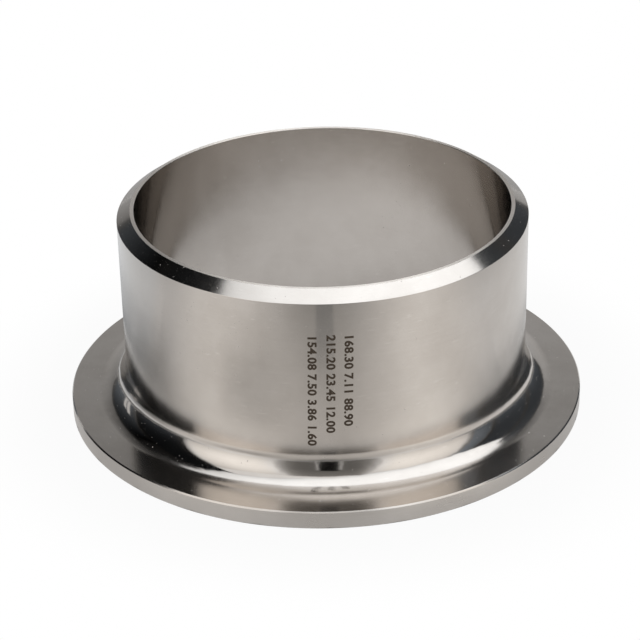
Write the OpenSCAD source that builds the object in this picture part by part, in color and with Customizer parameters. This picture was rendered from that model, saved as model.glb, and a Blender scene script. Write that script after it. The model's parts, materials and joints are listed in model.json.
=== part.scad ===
// Lap joint stub end, short pattern.
// A pipe stub turned from one piece: a weld bevel at the free end, and at the other end a flat lap
// that a loose backing flange pulls against its gasket.
// It stands on its gasket face, which lies in the plane z = 0, with the pipe's axis along +Z.

/* [Barrel] */
// Outside diameter of the barrel, the same as the pipe's
barrel_od = 168.3; // [150:0.1:185]
// Wall thickness of the barrel
wall = 7.11; // [3.4:0.01:18]
// Overall length from the gasket face to the weld end
length = 88.9; // [60:0.1:203]

/* [Lap] */
// Outside diameter of the lap
lap_od = 215.2; // [200:0.1:270]
// Thickness of the lap
lap_t = 7.5; // [4:0.1:20]
// Radius of the fillet between the lap and the barrel
fillet_r = 12; // [2:0.1:20]

/* [Weld end] */
// Angle of the weld bevel, measured from the end face
bevel_angle = 35; // [20:0.5:50]
// Width of the flat root face that the bevel leaves at the bore
root_face = 1.6; // [0.8:0.1:2.4]

/* [Edges] */
// Chamfer on both edges of the lap's rim
rim_break = 0.5; // [0.2:0.1:1.5]
// Chamfer where the bore meets the gasket face
bore_break = 0.5; // [0.2:0.1:1.5]

/* [Hidden] */
$fn = 256;
steel = [0.66, 0.64, 0.61];

barrel_r = barrel_od / 2;
bore_r = barrel_r - wall;
lap_r = lap_od / 2;
bevel_h = (wall - root_face) * tan(bevel_angle);
// The fillet ends at the rim's chamfer at the latest
fillet = min(fillet_r, lap_r - rim_break - barrel_r);
fillet_centre = [barrel_r + fillet, lap_t + fillet];

// Half of the part's section, with x as the radius and y as the height
module section() {
    difference() {
        polygon([
            [bore_r + bore_break, 0],
            [lap_r - rim_break, 0],
            [lap_r, rim_break],
            [lap_r, lap_t - rim_break],
            [lap_r - rim_break, lap_t],
            [fillet_centre.x, lap_t],
            fillet_centre,
            [barrel_r, fillet_centre.y],
            [barrel_r, length - bevel_h],
            [bore_r + root_face, length],
            [bore_r, length],
            [bore_r, bore_break],
        ]);
        translate(fillet_centre)
            circle(r = fillet);
    }
}

// The whole fitting is one turned piece
module stub_end() {
    color(steel)
        rotate_extrude()
            section();
}

stub_end();
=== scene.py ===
"""Looks of a lap joint stub end: one turned steel piece with plain sizes marked on its barrel.

Every length is in metres, in the part's own frame: the gasket face lies in the plane z = 0 and the pipe's
axis runs along +Z. Azimuths are in degrees round that axis, 0 behind the part, 90 at its right.
"""
import json
import math

import bpy
from mathutils import Matrix, Quaternion, Vector


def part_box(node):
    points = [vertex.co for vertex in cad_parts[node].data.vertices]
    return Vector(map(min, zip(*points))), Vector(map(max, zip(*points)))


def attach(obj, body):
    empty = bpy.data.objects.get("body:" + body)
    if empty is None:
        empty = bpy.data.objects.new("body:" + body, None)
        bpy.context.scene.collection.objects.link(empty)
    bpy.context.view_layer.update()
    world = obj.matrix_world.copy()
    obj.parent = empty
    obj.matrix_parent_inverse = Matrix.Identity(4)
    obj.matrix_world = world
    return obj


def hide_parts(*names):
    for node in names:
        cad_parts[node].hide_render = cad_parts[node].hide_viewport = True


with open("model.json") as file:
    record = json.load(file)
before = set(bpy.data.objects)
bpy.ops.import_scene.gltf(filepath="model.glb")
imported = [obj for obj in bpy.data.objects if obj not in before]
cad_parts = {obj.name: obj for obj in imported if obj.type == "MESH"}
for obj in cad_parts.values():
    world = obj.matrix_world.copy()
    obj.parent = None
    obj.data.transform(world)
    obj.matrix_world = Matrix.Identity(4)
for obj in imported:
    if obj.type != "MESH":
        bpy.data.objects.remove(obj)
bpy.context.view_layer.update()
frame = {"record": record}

MM = 0.001
UM = 1e-6

# Sizes of the part, from the frame
mounts = {mount["name"]: mount for mount in frame["record"]["mounts"]}
LAP_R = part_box("stub_end")[1].x
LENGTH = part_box("stub_end")[1].z
BARREL_R = mounts["barrel"]["dims"]["r_mm"] * MM
BORE_R = mounts["bore"]["dims"]["r_mm"] * MM
LAP_T = mounts["lap_back"]["pos_m"][2]
BORE_BREAK = LENGTH - mounts["bore"]["dims"]["length_mm"] * MM
ROOT_FACE = 2 * (mounts["weld_end"]["pos_m"][0] - BORE_R)

# Sizes of the part that the frame doesn't state
FILLET_R = 12 * MM
FILLET_TOP = LAP_T + FILLET_R
RIM_BREAK = 0.5 * MM
BEVEL_ANGLE = 35
BEVEL_H = (BARREL_R - BORE_R - ROOT_FACE) * math.tan(math.radians(BEVEL_ANGLE))

# Fine form that the solid leaves out
EDGE_R = 0.12 * MM
ROOT_EDGE_R = 0.2 * MM
GROOVE_PITCH = 0.8 * MM
GROOVE_DEPTH = 0.05 * MM

# Fineness of the mesh
SEGMENTS = 288
EDGE_STEPS = 4
FILLET_STEPS = 32
GROOVE_STEPS = 4


def add_object(name, data):
    made = bpy.data.objects.new(name, data)
    bpy.context.scene.collection.objects.link(made)
    return made


# Camera of the photograph

FOCAL_MM = 122.85
SENSOR_MM = 36
TARGET = Vector((0, 0, 45 * MM))
DISTANCE = 0.91302
ELEVATION = 27.2025
PAN = 0.1242
TILT = -0.6049
ROLL = 1.2066


def add_camera():
    """Camera at the photograph's place: turned about the part first, then panned, tilted and rolled."""
    back = Vector((0, -math.cos(math.radians(ELEVATION)), math.sin(math.radians(ELEVATION))))
    forward = -back
    right = Vector((1, 0, 0))
    up = right.cross(forward)
    pan = Quaternion(up, math.radians(PAN))
    forward.rotate(pan)
    right.rotate(pan)
    tilt = Quaternion(right, math.radians(TILT))
    forward.rotate(tilt)
    up.rotate(tilt)
    roll = Quaternion(forward, math.radians(ROLL))
    right.rotate(roll)
    up.rotate(roll)
    data = bpy.data.cameras.new("camera")
    data.lens = FOCAL_MM
    data.sensor_width = SENSOR_MM
    camera = add_object("camera", data)
    turn = Matrix((right, up, -forward)).transposed().to_4x4()
    camera.matrix_world = Matrix.Translation(TARGET + DISTANCE * back) @ turn
    bpy.context.scene.camera = camera


# Section of the part, as points of radius and height with their outward normals

def rounded(before, corner, after, radius, steps):
    """Arc that rounds one corner of the section, whose outline runs counter-clockwise."""
    to_before = (before - corner).normalized()
    to_after = (after - corner).normalized()
    half = to_before.angle(to_after) / 2
    centre = corner + (to_before + to_after).normalized() * radius / math.sin(half)
    start = corner + to_before * radius / math.tan(half) - centre
    turn = math.pi - 2 * half
    hollow = to_before.cross(to_after) > 0
    sense = -1 if hollow else 1
    points = []
    for i in range(steps + 1):
        spoke = start.copy()
        spoke.rotate(Matrix.Rotation(sense * turn * i / steps, 2))
        points.append((centre + spoke, spoke.normalized() * sense))
    return points


def grooved(start, end):
    """Fine concentric grooves across the gasket face, between two radii at height 0."""
    count = int((end.x - start.x) / GROOVE_PITCH)
    pitch = (end.x - start.x) / count
    points = []
    for i in range(1, count * GROOVE_STEPS):
        phase = 2 * math.pi * i / GROOVE_STEPS
        height = GROOVE_DEPTH * (1 - math.cos(phase)) / 2
        slope = GROOVE_DEPTH * math.sin(phase) * math.pi / pitch
        radius = start.x + pitch * i / GROOVE_STEPS
        points.append((Vector((radius, height)), Vector((slope, -1)).normalized()))
    return points


def edge_radius(zones, i):
    """Radius of the round on one corner: larger on both edges of the root face."""
    beside_root = "root_face" in (zones[i - 1], zones[i])
    return ROOT_EDGE_R if beside_root else EDGE_R


def section():
    """Closed outline of the section: points, normals, and the zone of the surface after each point."""
    corners = [
        (BORE_R + BORE_BREAK, 0, "gasket_face"),
        (LAP_R - RIM_BREAK, 0, "edge"),
        (LAP_R, RIM_BREAK, "rim"),
        (LAP_R, LAP_T - RIM_BREAK, "edge"),
        (LAP_R - RIM_BREAK, LAP_T, "lap_back"),
        (BARREL_R, LAP_T, "barrel"),
        (BARREL_R, LENGTH - BEVEL_H, "weld_bevel"),
        (BORE_R + ROOT_FACE, LENGTH, "root_face"),
        (BORE_R, LENGTH, "bore"),
        (BORE_R, BORE_BREAK, "edge"),
    ]
    places = [Vector(corner[:2]) for corner in corners]
    zones = [corner[2] for corner in corners]
    outline = []
    for i, zone in enumerate(zones):
        is_fillet = zone == "barrel"
        radius = FILLET_R if is_fillet else edge_radius(zones, i)
        steps = FILLET_STEPS if is_fillet else EDGE_STEPS
        after = places[(i + 1) % len(places)]
        arc = rounded(places[i - 1], places[i], after, radius, steps)
        arc_zone = "fillet" if is_fillet else "edge"
        outline += [(point, normal, arc_zone) for point, normal in arc[:-1]]
        outline.append((*arc[-1], zone))
        if zone == "gasket_face":
            grooves = grooved(arc[-1][0], after - Vector((EDGE_R, 0)))
            outline += [(point, normal, zone) for point, normal in grooves]
    return outline


def revolve(name, outline, zones):
    """Turns the section into a closed mesh with one material slot per zone and exact normals."""
    vertices = []
    normals = []
    for (r, z), (nr, nz), _ in outline:
        for j in range(SEGMENTS):
            angle = 2 * math.pi * j / SEGMENTS
            vertices.append((r * math.cos(angle), r * math.sin(angle), z))
            normals.append((nr * math.cos(angle), nr * math.sin(angle), nz))
    faces = []
    slots = []
    for k, (_, _, zone) in enumerate(outline):
        low = k * SEGMENTS
        high = (k + 1) % len(outline) * SEGMENTS
        for j in range(SEGMENTS):
            beside = (j + 1) % SEGMENTS
            faces.append((low + j, low + beside, high + beside, high + j))
            slots.append(zones.index(zone))
    mesh = bpy.data.meshes.new(name)
    mesh.from_pydata(vertices, [], faces)
    mesh.polygons.foreach_set("material_index", slots)
    mesh.polygons.foreach_set("use_smooth", [True] * len(faces))
    mesh.normals_split_custom_set_from_vertices(normals)
    return mesh


# Nodes of the materials

# Colour sockets of a mix node: its two inputs and its output
MIX_FIRST = 6
MIX_SECOND = 7
MIX_RESULT = 2


def new_material(name):
    material = bpy.data.materials.new(name)
    material.use_nodes = True
    material.node_tree.nodes.clear()
    return material, material.node_tree


def node(tree, kind, inputs=None, **settings):
    """New node with its settings, and its inputs set to values or linked to other nodes' sockets."""
    made = tree.nodes.new(kind)
    for name, value in settings.items():
        setattr(made, name, value)
    for name, value in (inputs or {}).items():
        if isinstance(value, bpy.types.NodeSocket):
            tree.links.new(value, made.inputs[name])
        else:
            made.inputs[name].default_value = value
    return made


def set_surface(tree, shader):
    node(tree, "ShaderNodeOutputMaterial", {"Surface": shader.outputs[0]})


def maths(tree, operation, *values):
    return node(tree, "ShaderNodeMath", dict(enumerate(values)), operation=operation).outputs[0]


def vector_maths(tree, operation, *values):
    made = node(tree, "ShaderNodeVectorMath", dict(enumerate(values)), operation=operation)
    return made.outputs["Vector"]


def length_of(tree, vector):
    return node(tree, "ShaderNodeVectorMath", {0: vector}, operation="LENGTH").outputs["Value"]


def height_of(tree, place):
    return node(tree, "ShaderNodeSeparateXYZ", {0: place}).outputs["Z"]


def place_on_object(tree):
    return node(tree, "ShaderNodeTexCoord").outputs["Object"]


def noise(tree, vector, scale=1, detail=2, roughness=0.5):
    values = {"Vector": vector, "Scale": scale, "Detail": detail, "Roughness": roughness}
    return node(tree, "ShaderNodeTexNoise", values).outputs["Fac"]


def above(tree, value, low, high):
    """0 below low, 1 above high, with a smooth step between. With low over high it is 1 below high."""
    values = {"Value": value, "From Min": low, "From Max": high}
    return node(tree, "ShaderNodeMapRange", values, interpolation_type="SMOOTHSTEP").outputs[0]


def mixed(tree, share, first, second):
    """Colour between two others."""
    values = {0: share, MIX_FIRST: first, MIX_SECOND: second}
    return node(tree, "ShaderNodeMix", values, data_type="RGBA").outputs[MIX_RESULT]


def turned_coordinates(tree, place, around, along):
    """Coordinates that change slowly round the axis and fast along the section, as a tool's marks do."""
    flat = vector_maths(tree, "MULTIPLY", place, (1, 1, 0))
    run = maths(tree, "SUBTRACT", length_of(tree, flat), height_of(tree, place))
    run = maths(tree, "MULTIPLY", run, along)
    spoke = vector_maths(tree, "MULTIPLY", vector_maths(tree, "NORMALIZE", flat), (around, around, 0))
    return vector_maths(tree, "ADD", spoke, node(tree, "ShaderNodeCombineXYZ", {"Z": run}).outputs[0])


# Steel

STEEL_DARK = Vector((0.565, 0.527, 0.49))
STEEL_LIGHT = Vector((0.645, 0.607, 0.57))
# How fast each kind of mark changes round the axis and, per metre, along the section
LINE_RATES = (0.8, 1800)
SMUDGE_RATES = (4, 45)
RIPPLE_RATES = (9, 120)
SCRATCH_RATES = (17, 1300)
DUST_RATE = 1100
# Levels of noise between which a scratch and a speck of dust begin
SCRATCH_START = (0.68, 0.76)
DUST_START = (0.755, 0.81)
# How much each kind of mark changes the steel between dark and light
SMUDGE_SHARE = 2.2
LINE_SHARE = 0.35
SCRATCH_SHARE = 0.6
# Part of a turn from the tangent to the way in which reflections are blurred most
BLUR_TURN = 0.25
# Heights between which the fillet's polish runs out into the finish of the lap and of the barrel
RUN_OUT_FOOT = (LAP_T + 0.16 * FILLET_R, LAP_T)
RUN_OUT_TOP = (LAP_T + 0.55 * FILLET_R, FILLET_TOP)
# Heights between which the barrel gets more polished towards the fillet
BARREL_FOOT = (FILLET_TOP + 18 * MM, FILLET_TOP)


def steel_shade(tree, place, lines):
    """Dark and light of the steel, about 0 to 1, from smudges, lines and bright scratches."""
    smudge = noise(tree, turned_coordinates(tree, place, *SMUDGE_RATES), detail=4, roughness=0.55)
    scratch = noise(tree, turned_coordinates(tree, place, *SCRATCH_RATES), detail=1)
    scratch = above(tree, scratch, *SCRATCH_START)
    shade = maths(tree, "MULTIPLY_ADD", maths(tree, "SUBTRACT", smudge, 0.5), SMUDGE_SHARE, 0.5)
    shade = maths(tree, "MULTIPLY_ADD", maths(tree, "SUBTRACT", lines, 0.5), LINE_SHARE, shade)
    return maths(tree, "MULTIPLY_ADD", scratch, SCRATCH_SHARE, shade)


def steel_relief(tree, place, lines, line_depth, ripple_depth):
    """Normal of a surface with fine lines on shallow ripples."""
    ripple = noise(tree, turned_coordinates(tree, place, *RIPPLE_RATES), roughness=0.4)
    values = {"Strength": 1, "Distance": ripple_depth, "Height": ripple}
    ripples = node(tree, "ShaderNodeBump", values).outputs[0]
    values = {"Strength": 1, "Distance": line_depth, "Height": lines, "Normal": ripples}
    return node(tree, "ShaderNodeBump", values).outputs[0]


def turned_steel(
    name, roughness, anisotropy, uneven, line_depth, ripple_depth, tone=1, edge_tint=1, run_outs=()
):
    """Steel as a lathe leaves it: blurred across the tool's marks, with some dust.

    The light parts are rougher by about half of uneven, the dark ones smoother by as much.
    Each run-out changes the roughness between two heights.
    """
    material, tree = new_material(name)
    place = place_on_object(tree)
    lines = noise(tree, turned_coordinates(tree, place, *LINE_RATES), detail=3, roughness=0.6)
    dust = above(tree, noise(tree, place, DUST_RATE, detail=1), *DUST_START)
    shade = steel_shade(tree, place, lines)
    blur = maths(tree, "MULTIPLY_ADD", maths(tree, "SUBTRACT", shade, 0.5), uneven, roughness)
    for heights, gain in run_outs:
        blur = maths(tree, "MULTIPLY_ADD", above(tree, height_of(tree, place), *heights), gain, blur)
    shader = node(
        tree,
        "ShaderNodeBsdfPrincipled",
        {
            "Base Color": mixed(tree, shade, (*(tone * STEEL_DARK), 1), (*(tone * STEEL_LIGHT), 1)),
            "Metallic": maths(tree, "SUBTRACT", 1, dust),
            "Roughness": blur,
            "Specular Tint": (edge_tint, edge_tint, edge_tint, 1),
            "Anisotropic": anisotropy,
            "Anisotropic Rotation": BLUR_TURN,
            "Tangent": node(tree, "ShaderNodeTangent", direction_type="RADIAL", axis="Z").outputs[0],
            "Normal": steel_relief(tree, place, lines, line_depth, ripple_depth),
        },
    )
    set_surface(tree, shader)
    return material


def steel_finishes():
    """One finish per zone: roughness, anisotropy, unevenness, depth of lines and depth of ripples."""
    fillet_ends = ((RUN_OUT_FOOT, 0.065), (RUN_OUT_TOP, 0.07))
    foot = ((BARREL_FOOT, -0.055),)
    return {
        "gasket_face": turned_steel("steel_gasket_face", 0.26, 0.5, 0.08, 1.0 * UM, 20 * UM),
        "edge": turned_steel("steel_edge", 0.15, 0.3, 0.05, 0.5 * UM, 20 * UM, tone=1.15),
        "rim": turned_steel("steel_rim", 0.3, 0.9, 0.08, 2.0 * UM, 20 * UM),
        "lap_back": turned_steel("steel_lap_back", 0.15, 0.55, 0.03, 0.5 * UM, 40 * UM),
        "fillet": turned_steel("steel_fillet", 0.09, 0.3, 0.02, 0.3 * UM, 70 * UM, run_outs=fillet_ends),
        "barrel": turned_steel("steel_barrel", 0.175, 0.92, 0.03, 0.5 * UM, 40 * UM, run_outs=foot),
        "weld_bevel": turned_steel("steel_weld_bevel", 0.13, 0.4, 0.03, 0.5 * UM, 30 * UM),
        "root_face": turned_steel("steel_root_face", 0.48, 0.8, 0.05, 0.5 * UM, 10 * UM, tone=1.4),
        "bore": turned_steel("steel_bore", 0.14, 1.0, 0.03, 0.5 * UM, 40 * UM, tone=0.86, edge_tint=0.65),
    }


def add_stub_end():
    """Finer mesh of the part, with one finish per zone, in place of the solid's."""
    finishes = steel_finishes()
    mesh = revolve("stub_end_turned", section(), list(finishes))
    for material in finishes.values():
        mesh.materials.append(material)
    piece = add_object("stub_end_turned", mesh)
    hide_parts("stub_end")
    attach(piece, "root")


# Marking on the barrel's front: plain sizes in three lines that run down the barrel

# Height of the characters, and its share of the text's size
CAP_HEIGHT = 3.7 * MM
CAP_SHARE = 0.8
SPACING = 1.06
STRETCH = 1.13
# How much thicker the strokes are than the typeface's own, and the steps of their curves
STROKE_GAIN = 0.16 * MM
STROKE_STEPS = 4
# Height at which the lines start, and how proud of the barrel they are
MARK_TOP = 71.9 * MM
MARK_DEPTH = 0.04 * MM
# Slant of the lines, and the distance down them at which their middles are at their places
MARK_SLANT = 1.1
MARK_PIVOT = 22 * MM
# Middle of each line, to the right of the part's front, and the sizes that it states in millimetres
MARK_LINES = [
    (9.0 * MM, (2 * BARREL_R, BARREL_R - BORE_R, LENGTH)),
    (2.1 * MM, (2 * LAP_R, LAP_R - BARREL_R, FILLET_R)),
    (-5.1 * MM, (2 * BORE_R, LAP_T, BEVEL_H, ROOT_FACE)),
]
OXIDE_DARK = (0.03, 0.022, 0.016, 1)
OXIDE_LIGHT = (0.12, 0.085, 0.055, 1)
OXIDE_METALLIC = 0.35
OXIDE_ROUGHNESS = 0.4
OXIDE_UNEVEN = 0.2
SPECKLE_RATE = 2500


def oxide():
    """Dark brown oxide of a laser marking, rougher where it is lighter."""
    material, tree = new_material("marking_oxide")
    speckle = noise(tree, place_on_object(tree), SPECKLE_RATE, detail=3, roughness=0.6)
    colour = mixed(tree, speckle, OXIDE_DARK, OXIDE_LIGHT)
    blur = maths(tree, "MULTIPLY_ADD", speckle, OXIDE_UNEVEN, OXIDE_ROUGHNESS)
    values = {"Base Color": colour, "Metallic": OXIDE_METALLIC, "Roughness": blur}
    set_surface(tree, node(tree, "ShaderNodeBsdfPrincipled", values))
    return material


def flat_line(sizes):
    """Mesh of one line of sizes, lying flat along +X."""
    text = bpy.data.curves.new("marking_line", "FONT")
    text.body = " ".join(f"{size / MM:.2f}" for size in sizes)
    text.size = CAP_HEIGHT / CAP_SHARE
    text.space_character = SPACING
    text.extrude = MARK_DEPTH
    text.offset = STROKE_GAIN
    text.resolution_u = STROKE_STEPS
    flat = add_object("marking_line", text)
    depsgraph = bpy.context.evaluated_depsgraph_get()
    mesh = bpy.data.meshes.new_from_object(flat.evaluated_get(depsgraph))
    bpy.data.objects.remove(flat)
    bpy.data.curves.remove(text)
    return mesh


def wrapped(point, middle):
    """Place on the barrel of one point of a flat line, whose characters have their tops to the right."""
    along, across, height = point
    along *= STRETCH
    slant = math.tan(math.radians(MARK_SLANT)) * (MARK_PIVOT - along)
    angle = (middle + slant + across - CAP_HEIGHT / 2) / BARREL_R
    radius = BARREL_R + height
    return radius * math.sin(angle), -radius * math.cos(angle), MARK_TOP - along


def add_marking():
    """Three lines of sizes in one piece."""
    vertices = []
    faces = []
    for middle, sizes in MARK_LINES:
        line = flat_line(sizes)
        first = len(vertices)
        vertices += [wrapped(vertex.co, middle) for vertex in line.vertices]
        faces += [[first + i for i in face.vertices] for face in line.polygons]
        bpy.data.meshes.remove(line)
    mesh = bpy.data.meshes.new("marking")
    mesh.from_pydata(vertices, [], faces)
    mesh.materials.append(oxide())
    marking = add_object("marking", mesh)
    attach(marking, "root")


# How a card's level changes across it, with u round the part and v upwards or outwards, both from -1 to 1

def even(u, v):
    return 1


def smooth(value, low, high):
    """0 below low, 1 above high, with a smooth step between."""
    share = min(max((value - low) / (high - low), 0), 1)
    return share * share * (3 - 2 * share)


def bump(value, middle, reach):
    """1 at the middle, 0 beyond reach from it."""
    return max(1 - ((value - middle) / reach) ** 2, 0)


def down(v):
    """1 at a card's foot or near edge, 0 at its top or far edge."""
    return (1 - v) / 2


def softbox(u, v):
    """Dimmer towards the edges, most of all the outer one, at u = -1."""
    edge = 0.2 + 0.8 * smooth(u, -1.04, -0.8)
    across = (0.7 + 0.3 * smooth(u, -1.2, 0.1)) * (1 - 0.15 * max(u, 0) ** 2)
    return edge * across * (1 - 0.3 * v ** 2)


def dim_middle(u, v):
    """Bright at both ends, and slightly brighter upwards."""
    return 0.17 + 0.1 * max(v, 0) + 0.83 * u ** 6


def glow(u, v):
    """Fades upwards and slightly towards both ends."""
    return (1 - 0.35 * (u - 0.3) ** 2) * (1 - smooth(v, -0.3, 1.05))


def low_glow(u, v):
    return down(v) ** 1.5


def low_line(u, v):
    """Dark above a bright foot."""
    return 0.1 + down(v) ** 6


def brighter_foot(u, v):
    return 0.8 + 0.9 * down(v) ** 4


def rising(u, v):
    """Brighter towards the front and upwards."""
    return (0.4 + 0.25 * (1 + u)) * (0.85 + 0.15 * v)


def dim_far_edge(v, share=1):
    """Dimmer at the far edge, in full or by a share."""
    return 1 - 0.8 * share * smooth(v, 0.45, 1)


def front_floor(u, v):
    """Dim in front of the part, with soft shadows at the left, and darker edges at both ends."""
    middle = 0.33 + 0.39 * down(v) ** 0.8
    side = 1 - 0.08 * bump(u, -0.72, 0.2)
    side -= (0.16 - 0.08 * smooth(v, -0.3, 0.3)) * smooth(u, -0.2, 0.5)
    if u > 0:
        side -= 0.26 * (1 - smooth(v, -0.5, 0.1)) * smooth(u, 0.75, 1)
    else:
        side -= 0.06 * smooth(-u, 0.8, 1)
    level = middle + (side - middle) * smooth(abs(u), 0.05, 0.55)
    level *= 1 + 0.34 * (1 - smooth(v, -1, -0.65)) * bump(abs(u), 0.45, 0.35)
    level -= 0.3 * bump(u, 0.39, 0.18) * bump(v, -0.45, 0.52)
    level -= 0.18 * bump(u, 1.035, 0.22) * bump(v, -0.64, 0.4)
    level *= 1 - 0.5 * smooth(abs(u), 0.5, 1) * (1 - smooth(v, -1, -0.5))
    return level * dim_far_edge(v, smooth(abs(u), 0.75, 1))


def rim_floor(u, v):
    """Dimmer in front of the part."""
    return 1 + 0.25 * smooth(abs(u), 0.36, 0.5)


def far_floor(u, v):
    """Dim in front of the part and at both ends."""
    side = 1.15 * (1 - 0.84 * smooth(abs(u), 0.6, 1))
    return 0.27 + (side - 0.27) * smooth(abs(u), 0.06, 0.5)


def right_floor(u, v):
    """Dimmer close to the part and at the far edge."""
    return 0.94 * (0.6 + 0.4 * smooth(v, -1, -0.6)) * dim_far_edge(v)


def left_floor(u, v):
    """In the part's soft shadow close by, less so towards the back."""
    lit = 0.92 + 0.03 * smooth(u, -1, 0)
    shade = (0.58 + 0.12 * smooth(u, -0.2, 1)) * (0.5 + 0.5 * smooth(v, -1, -0.65))
    # Painted soft shadow of the part on the floor, close to the part at this card's front end
    painted_soft_shadow = 0.18 * bump(u, -0.91, 0.53) * bump(v, -0.64, 0.4)
    level = shade + (lit - shade) * smooth(v, -0.57, -0.04) - painted_soft_shadow
    return level * dim_far_edge(v)


def back_floor(u, v):
    """Between the floor at the left and the one at the right."""
    return left_floor(1, v) * (1 - u) / 2 + right_floor(-1, v) * (1 + u) / 2


def backdrop_foot(u, v):
    """Dimmer at the near edge and at both ends."""
    return 0.4 + 0.6 * smooth(v, -1, -0.92) * (1 - smooth(abs(u), 0.7, 1))


def inner_floor(u, v):
    """Towards the wall brighter at the front left, dimmer elsewhere and most of all at the back right."""
    wave = math.sin(math.pi * u)
    out = (1 + v) / 2
    return 1 + 0.5 * max(wave, 0) * out ** 3 + 0.2 * min(wave, 0) * out - 0.12 * out


# Cards of the studio, which the part's reflections show

LIGHT_NAME = "light"
# Strength of a card whose level is 1
LIGHT = 0.87
# Tints of the cards
NEUTRAL = Vector((1, 1, 1))
WARM = Vector((1.025, 1, 0.965))
COOL = Vector((0.97, 1, 1.03))
BLUISH = Vector((0.87, 0.98, 1.12))
# Part of a card's half width at which its tint begins to fade
TINT_REACH = 0.65
# Steps of a card each way
CARD_STEPS = 24
SHARES = [2 * i / CARD_STEPS - 1 for i in range(CARD_STEPS + 1)]


def card_light(name, is_lamp):
    """Light of a card, from the colour that its mesh holds at each point."""
    material, tree = new_material(name)
    colour = node(tree, "ShaderNodeAttribute", attribute_name=LIGHT_NAME).outputs["Color"]
    set_surface(tree, node(tree, "ShaderNodeEmission", {"Color": colour, "Strength": LIGHT}))
    material.cycles.emission_sampling = "AUTO" if is_lamp else "NONE"
    return material


def add_card(name, vertices, faces, colours, is_lamp):
    """Card with a colour at each point. A lamp's card lights matt surfaces too."""
    mesh = bpy.data.meshes.new(name)
    mesh.from_pydata(vertices, [], faces)
    channels = [channel for colour in colours for channel in (*colour, 1)]
    mesh.attributes.new(LIGHT_NAME, "FLOAT_COLOR", "POINT").data.foreach_set("color", channels)
    mesh.materials.append(card_light(name, is_lamp))
    card = add_object(name, mesh)
    card.visible_camera = False
    card.visible_shadow = False
    card.visible_transmission = False
    card.visible_diffuse = is_lamp


def between(ends, share):
    """Value between two ends, at a share from -1 to 1."""
    return (ends[0] * (1 - share) + ends[1] * (1 + share)) / 2


def tinted(level, tint, u):
    """Light of one point of a card, whose tint fades out towards its ends."""
    return level * tint.lerp(NEUTRAL, smooth(abs(u), TINT_REACH, 1))


def card_grid():
    """Faces of a card whose points run in rows, one row for each step of u."""
    row = CARD_STEPS + 1
    corners = [i * row + j for i in range(CARD_STEPS) for j in range(CARD_STEPS)]
    return [(corner, corner + row, corner + row + 1, corner + 1) for corner in corners]


def add_curved_card(name, azimuths, profile, level, shape, tint, is_lamp=False):
    """Card that bends round the axis, with a profile that gives its distance and height for each v."""
    vertices = []
    colours = []
    for u in SHARES:
        azimuth = math.radians(between(azimuths, u))
        for v in SHARES:
            radius, height = profile(v)
            vertices.append((radius * math.sin(azimuth), radius * math.cos(azimuth), height))
            colours.append(tinted(level * shape(u, v), tint, u))
    add_card(name, vertices, card_grid(), colours, is_lamp)


# Softbox above the part

OCTABOX_CENTRE = Vector((0.57, 0.3, 2.0))
OCTABOX_R = 1.75
OCTABOX_SIDES = 8
OCTABOX_LEVEL = 1.95
# Turn of its corners, anticlockwise from +X
OCTABOX_TURN = 12
# Rings of points, with their share of the radius and of the level
OCTABOX_RINGS = ((0.4, 0.98), (0.75, 0.9), (0.92, 0.72), (1, 0.5))
# Direction of the brighter side, anticlockwise from +X, and how much brighter it is
OCTABOX_HOT_SIDE = 30
OCTABOX_HOT_GAIN = 0.06


def add_octabox():
    """Horizontal octagonal softbox, dimmer towards its edges and brighter at one side."""
    vertices = [OCTABOX_CENTRE]
    colours = [OCTABOX_LEVEL * COOL]
    for share, dimming in OCTABOX_RINGS:
        for i in range(OCTABOX_SIDES):
            angle = 2 * math.pi * i / OCTABOX_SIDES + math.radians(OCTABOX_TURN)
            spoke = share * OCTABOX_R * Vector((math.cos(angle), math.sin(angle), 0))
            gain = 1 + OCTABOX_HOT_GAIN * share * math.cos(angle - math.radians(OCTABOX_HOT_SIDE))
            vertices.append(OCTABOX_CENTRE + spoke)
            colours.append(OCTABOX_LEVEL * dimming * gain * COOL)
    faces = []
    for i in range(OCTABOX_SIDES):
        beside = (i + 1) % OCTABOX_SIDES
        faces.append((0, 1 + i, 1 + beside))
        for ring in range(len(OCTABOX_RINGS) - 1):
            low = 1 + ring * OCTABOX_SIDES
            high = low + OCTABOX_SIDES
            faces.append((low + i, high + i, high + beside, low + beside))
    add_card("softbox_overhead", vertices, faces, colours, True)


# Screens round the part: softboxes in front, a pale backdrop and dark flags between them

# Distances from the axis of the screens and of what stands before them, and the elevation of their feet
SCREEN_R = 1.9
STAND_R = 1.7
SCREEN_FOOT = -1


def add_screen(
    name, azimuths, top, level, shape=even, tint=NEUTRAL, foot=SCREEN_FOOT, radius=SCREEN_R, is_lamp=False
):
    """Upright card between two azimuths, from the elevation of its foot to that of its top."""
    def profile(v):
        elevation = math.radians(between((foot, top), v))
        return radius, TARGET.z + radius * math.tan(elevation)

    add_curved_card(name, azimuths, profile, level, shape, tint, is_lamp)


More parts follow.
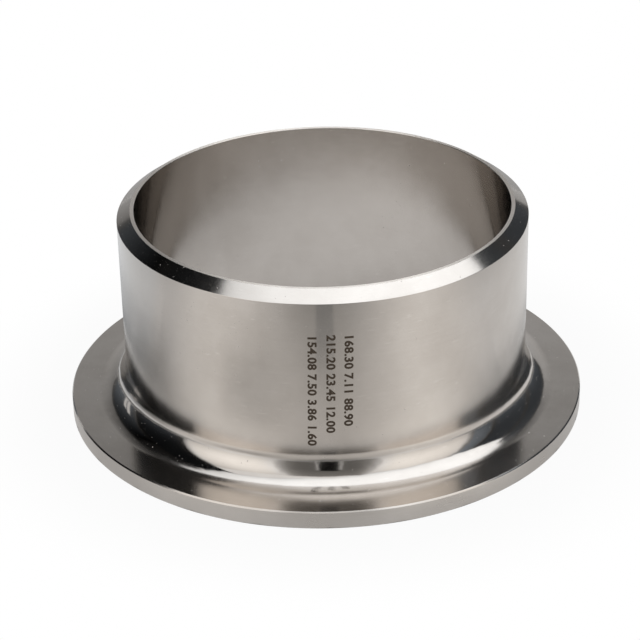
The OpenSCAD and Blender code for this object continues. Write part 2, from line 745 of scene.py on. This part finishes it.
def add_screens():
    add_screen("softbox_front_left", (-100, -152), 52, 1.5, softbox, WARM, is_lamp=True)
    add_screen("softbox_front_right", (99, 152), 54, 1.5, softbox, WARM, is_lamp=True)
    add_screen("front_gap", (152, 208), 54, 1.0, dim_middle, WARM)
    add_screen("camera_stand", (173.9, 184.9), 33, 0.01, radius=STAND_R)
    add_screen("stand_edge_right", (172.7, 173.9), 30, 0.7, radius=STAND_R)
    add_screen("stand_edge_left", (184.9, 186.1), 30, 0.7, radius=STAND_R)
    add_screen("flag_left", (-100, -62), 62, 0.06, low_line, BLUISH)
    add_screen("flag_back_left", (-62, -33.5), 40, 0.17, low_glow, BLUISH)
    add_screen("flag_back_left_top", (-62, -33.5), 58, 0.01, foot=40)
    add_screen("gleam_left", (-56, -53), 17, 0.8, radius=STAND_R)
    add_screen("gleam_back_left", (-52, -49.5), 13, 0.8, radius=STAND_R)
    add_screen("backdrop", (-33.5, 28), 48, 0.6, glow)
    add_screen("flag_back_top", (-33.5, 28), 56, 0.02, foot=48)
    add_screen("flag_back_right", (28, 50), 46, 0.07, brighter_foot, BLUISH)
    add_screen("flag_right", (50, 84), 43, 0.07, brighter_foot, BLUISH)
    add_screen("flag_front_right", (84, 99), 43, 0.4, rising, BLUISH)


# Cards on the floor, in rings about the axis

# Near and far edge of each ring
INSIDE = (0.1 * MM, BORE_R - 1 * MM)
RIM_RING = (LAP_R + 0.5 * MM, LAP_R + 14 * MM)
NEAR_RING = (RIM_RING[1], 0.28)
FAR_RING = (NEAR_RING[1], SCREEN_R)
# Azimuths of each side
FRONT = (98, 262)
RIGHT = (30, 98)
LEFT = (262, 330)
BACK = (-30, 30)
# Heights over the floor, the second for a card that lies on others
CARD_H = 0.3 * MM
UPPER_CARD_H = 0.6 * MM


def add_floor_card(name, azimuths, radii, level, shape=even, tint=NEUTRAL, height=CARD_H):
    """Card between two azimuths and two distances from the axis."""
    def profile(v):
        return between(radii, v), height

    add_curved_card(name, azimuths, profile, level, shape, tint)


def add_floor_cards():
    add_floor_card("floor_inside", (-35, 325), INSIDE, 1, inner_floor)
    add_floor_card("floor_rim", (0, 360), RIM_RING, 0.7, rim_floor)
    add_floor_card("floor_front", FRONT, NEAR_RING, 1, front_floor, WARM)
    add_floor_card("floor_front_far", FRONT, FAR_RING, 1, far_floor)
    # Painted shadow of the camera stand on the floor in front of the part, as the metal mirrors it
    add_floor_card("camera_foot", (176.2, 184), (0.2, 0.4), 0.27, height=UPPER_CARD_H)
    add_floor_card("floor_right", RIGHT, NEAR_RING, 1, right_floor)
    add_floor_card("floor_right_far", RIGHT, FAR_RING, 0.18)
    add_floor_card("floor_left", LEFT, NEAR_RING, 1, left_floor, COOL)
    add_floor_card("floor_left_far", LEFT, FAR_RING, 0.18)
    add_floor_card("floor_back", BACK, NEAR_RING, 1, back_floor)
    add_floor_card("floor_back_far", BACK, FAR_RING, 0.48, backdrop_foot)


# White floor and background

WHITE = (1, 1, 1, 1)
FLOOR_R = 5
FLOOR_COLOUR = (0.4, 0.4, 0.4, 1)
# Share of full white that the camera sees right beside the part
WHITE_NEAR = 0.95
# Distances from the part's rim over which the white becomes full, to the camera and in reflections
FADE_SEEN = (0, 0.06)
FADE_MIRRORED = (0.025, 0.09)
# Even light on the surfaces that scatter it
AMBIENT = 0.15


def seen_directly(tree):
    """1 for rays from the camera and those that metal or glass sends on, 0 for scattered light."""
    path = node(tree, "ShaderNodeLightPath").outputs
    seen = maths(tree, "MAXIMUM", path["Is Camera Ray"], path["Is Glossy Ray"])
    return maths(tree, "MAXIMUM", seen, path["Is Transmission Ray"])


def fade(tree, distance, reach, start):
    """Share of white, from start at the near end of reach to 1 at its far end."""
    values = {"Value": distance, "From Min": reach[0], "From Max": reach[1], "To Min": start, "To Max": 1}
    return node(tree, "ShaderNodeMapRange", values, interpolation_type="SMOOTHSTEP").outputs[0]


def add_floor():
    """White floor that keeps the part's shadow and fades into the white background further out."""
    material, tree = new_material("floor")
    radius = length_of(tree, place_on_object(tree))
    distance = maths(tree, "ABSOLUTE", maths(tree, "SUBTRACT", radius, LAP_R))
    path = node(tree, "ShaderNodeLightPath").outputs
    to_camera = maths(tree, "MULTIPLY", fade(tree, distance, FADE_SEEN, WHITE_NEAR), path["Is Camera Ray"])
    mirrored = maths(tree, "MULTIPLY", fade(tree, distance, FADE_MIRRORED, 0), seen_directly(tree))
    share = maths(tree, "MAXIMUM", to_camera, mirrored)
    matt = node(tree, "ShaderNodeBsdfDiffuse", {"Color": FLOOR_COLOUR})
    white = node(tree, "ShaderNodeEmission", {"Color": WHITE, "Strength": 1})
    values = {0: share, 1: matt.outputs[0], 2: white.outputs[0]}
    set_surface(tree, node(tree, "ShaderNodeMixShader", values))
    mesh = bpy.data.meshes.new("floor")
    corners = [(x * FLOOR_R, y * FLOOR_R, 0) for x, y in ((-1, -1), (1, -1), (1, 1), (-1, 1))]
    mesh.from_pydata(corners, [], [(0, 1, 2, 3)])
    mesh.materials.append(material)
    add_object("floor", mesh)


def set_world():
    """White background, and a low even light for the surfaces that scatter it."""
    world = bpy.data.worlds.new("studio")
    world.use_nodes = True
    tree = world.node_tree
    tree.nodes.clear()
    values = {"Value": seen_directly(tree), "To Min": AMBIENT, "To Max": 1}
    level = node(tree, "ShaderNodeMapRange", values).outputs[0]
    light = node(tree, "ShaderNodeBackground", {"Color": WHITE, "Strength": level})
    node(tree, "ShaderNodeOutputWorld", {"Surface": light.outputs[0]})
    bpy.context.scene.world = world


add_camera()
add_stub_end()
add_marking()
add_floor()
add_octabox()
add_screens()
add_floor_cards()
set_world()
bpy.context.scene.view_settings.view_transform = "Standard"

bpy.context.view_layer.update()
